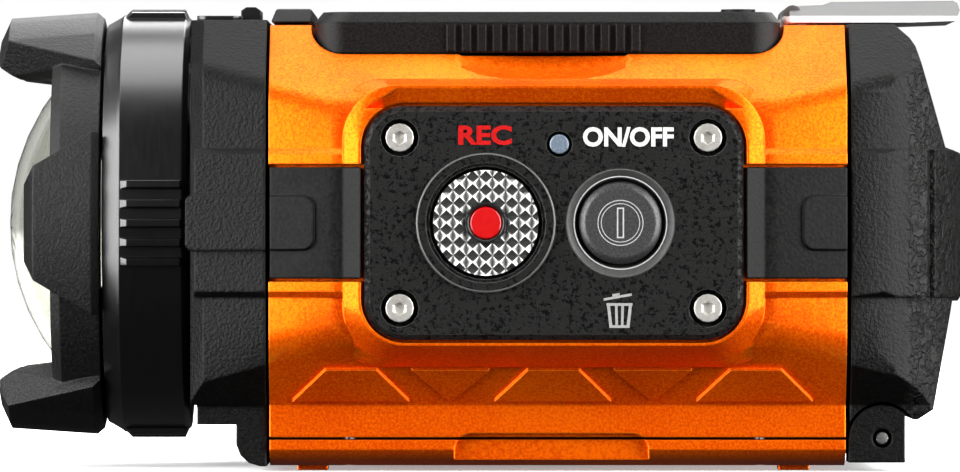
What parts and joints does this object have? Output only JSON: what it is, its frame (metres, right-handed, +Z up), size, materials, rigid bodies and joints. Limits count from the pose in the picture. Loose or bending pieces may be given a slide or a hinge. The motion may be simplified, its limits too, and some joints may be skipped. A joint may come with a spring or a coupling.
{
  "type": "action camera",
  "caption": "Rugged action camera with a clawed lens guard, side record and power buttons, a top display, and a hinged rear door closed by a latch lever.",
  "frame": {"origin": "bottom centre of the camera, on the surface it stands on", "axes": "+Z up, +X to the rear door, lens looking along -X, control plate facing -Y"},
  "size_m": [0.09, 0.0666, 0.0437],
  "materials": {
    "orange_shell": "satin metallic orange",
    "black_plastic": "fine moulded texture",
    "button_black": "satin",
    "rubber": "matte",
    "polished_steel": "polished",
    "steel": "satin",
    "silver_cap": "satin chrome",
    "red_plastic": "gloss",
    "lamp": "translucent",
    "clear_glass": "clear, coated",
    "screen": "gloss black",
    "brass": "satin",
    "circuit_board": "solder mask",
    "battery_case": "matte"
  },
  "bodies": {
    "camera_body": {"shell": "orange_shell", "base_plate": "orange_shell", "front_housing": "black_plastic", "bayonet_mount": "steel", "front_band_left": "black_plastic", "front_band_right": "black_plastic", "rear_band_left": "black_plastic", "rear_band_right": "black_plastic", "control_plate": "black_plastic", "plate_screw_1": "steel", "plate_screw_2": "steel", "plate_screw_3": "steel", "plate_screw_4": "steel", "status_lamp": "lamp", "grip_panel": "rubber", "display_frame": "black_plastic", "display_window": "clear_glass", "display_panel": "screen", "display_board": "circuit_board", "top_front_cover": "black_plastic", "lens_barrel": "black_plastic", "front_lens": "clear_glass", "image_sensor": "circuit_board", "hinge_ear_left": "black_plastic", "hinge_ear_right": "black_plastic", "hinge_pin": "steel", "lever_pivot": "steel", "tripod_insert": "brass", "base_screw_1": "steel", "base_screw_2": "steel", "base_screw_3": "steel", "base_screw_4": "steel", "chassis": "black_plastic", "battery": "battery_case", "main_board": "circuit_board", "card_slot": "steel", "memory_card": "battery_case", "usb_port": "steel", "hdmi_port": "steel", "button_board": "circuit_board", "rec_switch": "steel", "power_switch": "steel", "speaker": "steel"},
    "lens_port": {"lens_ring": "black_plastic", "lens_guard": "black_plastic", "dome": "clear_glass", "dome_seal": "rubber", "dome_retainer": "black_plastic"},
    "ring_lock": {"ring_lock": "black_plastic"},
    "rec_button": {"rec_button": "silver_cap", "rec_dot": "red_plastic"},
    "power_button": {"power_button": "button_black"},
    "menu_button": {"menu_button": "button_black"},
    "up_button": {"up_button": "button_black"},
    "down_button": {"down_button": "button_black"},
    "playback_button": {"playback_button": "button_black"},
    "rear_door": {"rear_door": "black_plastic", "door_seal": "rubber"},
    "latch_lever": {"latch_lever": "polished_steel"}
  },
  "joints": [
    {"name": "lens_port_twist", "type": "hinge", "parent": "camera_body", "child": "lens_port", "pos_m": [-0.031, 0, 0.0229], "axis": [1, 0, 0], "range_deg": [0, 30]},
    {"name": "ring_lock_slide", "type": "slide", "parent": "camera_body", "child": "ring_lock", "axis": [0, 1, 0], "range_m": [0, 0.0025], "stiffness_N_per_m": 300},
    {"name": "rec_button_press", "type": "slide", "parent": "camera_body", "child": "rec_button", "axis": [0, 1, 0], "range_m": [0, 0.0008], "stiffness_N_per_m": 800},
    {"name": "power_button_press", "type": "slide", "parent": "camera_body", "child": "power_button", "axis": [0, 1, 0], "range_m": [0, 0.0006], "stiffness_N_per_m": 800},
    {"name": "menu_button_press", "type": "slide", "parent": "camera_body", "child": "menu_button", "axis": [0, 0, -1], "range_m": [0, 0.0005], "stiffness_N_per_m": 800},
    {"name": "up_button_press", "type": "slide", "parent": "camera_body", "child": "up_button", "axis": [0, 0, -1], "range_m": [0, 0.0005], "stiffness_N_per_m": 800},
    {"name": "down_button_press", "type": "slide", "parent": "camera_body", "child": "down_button", "axis": [0, 0, -1], "range_m": [0, 0.0005], "stiffness_N_per_m": 800},
    {"name": "playback_button_press", "type": "slide", "parent": "camera_body", "child": "playback_button", "axis": [0, 0, -1], "range_m": [0, 0.0005], "stiffness_N_per_m": 800},
    {"name": "rear_door_hinge", "type": "hinge", "parent": "camera_body", "child": "rear_door", "pos_m": [0.0372, 0, 0.00305], "axis": [0, 1, 0], "range_deg": [0, 105]},
    {"name": "latch_lever_hinge", "type": "hinge", "parent": "camera_body", "child": "latch_lever", "pos_m": [0.02935, 0, 0.04245], "axis": [0, -1, 0], "range_deg": [0, 70]}
  ]
}
